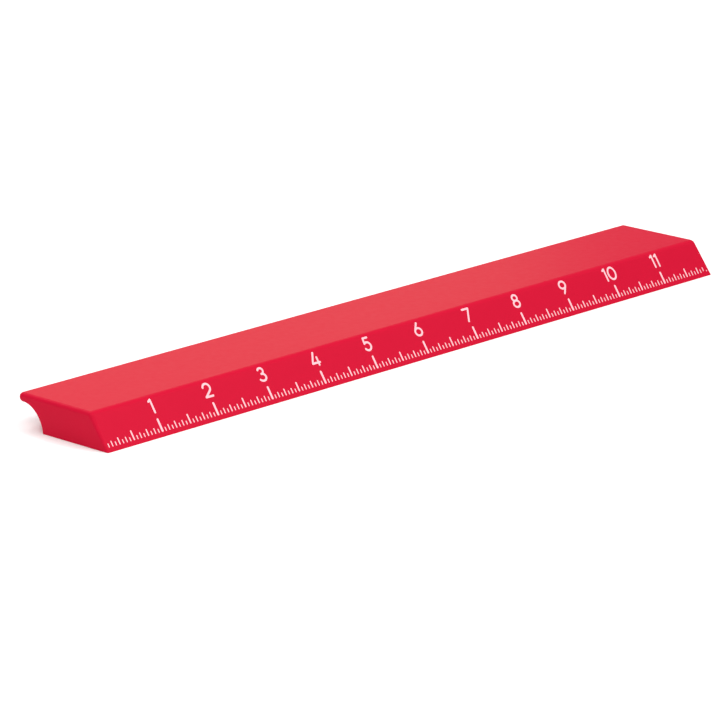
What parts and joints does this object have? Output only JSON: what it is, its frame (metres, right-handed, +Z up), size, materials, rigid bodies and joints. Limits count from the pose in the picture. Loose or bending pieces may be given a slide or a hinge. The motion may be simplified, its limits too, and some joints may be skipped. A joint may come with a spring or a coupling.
{
  "type": "desk ruler",
  "caption": "Wedge-section desk ruler: flat top, sloping front face with a printed inch scale, and a finger groove under a rounded lip along the back.",
  "frame": {"origin": "middle of the footprint's box, on the surface the ruler rests on", "axes": "+X along the ruler from the zero end of the scale to the far end, +Y from the scale face to the finger groove, +Z up"},
  "size_m": [0.3048, 0.0442, 0.0122],
  "materials": {
    "moulded_body": "satin, lightly textured",
    "printed_scale": "matt pad-printed ink"
  },
  "bodies": {
    "root": {"body": "moulded_body", "inch_line_1": "printed_scale", "numeral_1": "printed_scale", "inch_line_2": "printed_scale", "numeral_2": "printed_scale", "inch_line_3": "printed_scale", "numeral_3": "printed_scale", "inch_line_4": "printed_scale", "numeral_4": "printed_scale", "inch_line_5": "printed_scale", "numeral_5": "printed_scale", "inch_line_6": "printed_scale", "numeral_6": "printed_scale", "inch_line_7": "printed_scale", "numeral_7": "printed_scale", "inch_line_8": "printed_scale", "numeral_8": "printed_scale", "inch_line_9": "printed_scale", "numeral_9": "printed_scale", "inch_line_10": "printed_scale", "numeral_10_a": "printed_scale", "numeral_10_b": "printed_scale", "inch_line_11": "printed_scale", "numeral_11_a": "printed_scale", "numeral_11_b": "printed_scale", "half_inch_line_0": "printed_scale", "half_inch_line_1": "printed_scale", "half_inch_line_2": "printed_scale", "half_inch_line_3": "printed_scale", "half_inch_line_4": "printed_scale", "half_inch_line_5": "printed_scale", "half_inch_line_6": "printed_scale", "half_inch_line_7": "printed_scale", "half_inch_line_8": "printed_scale", "half_inch_line_9": "printed_scale", "half_inch_line_10": "printed_scale", "half_inch_line_11": "printed_scale"}
  },
  "joints": []
}
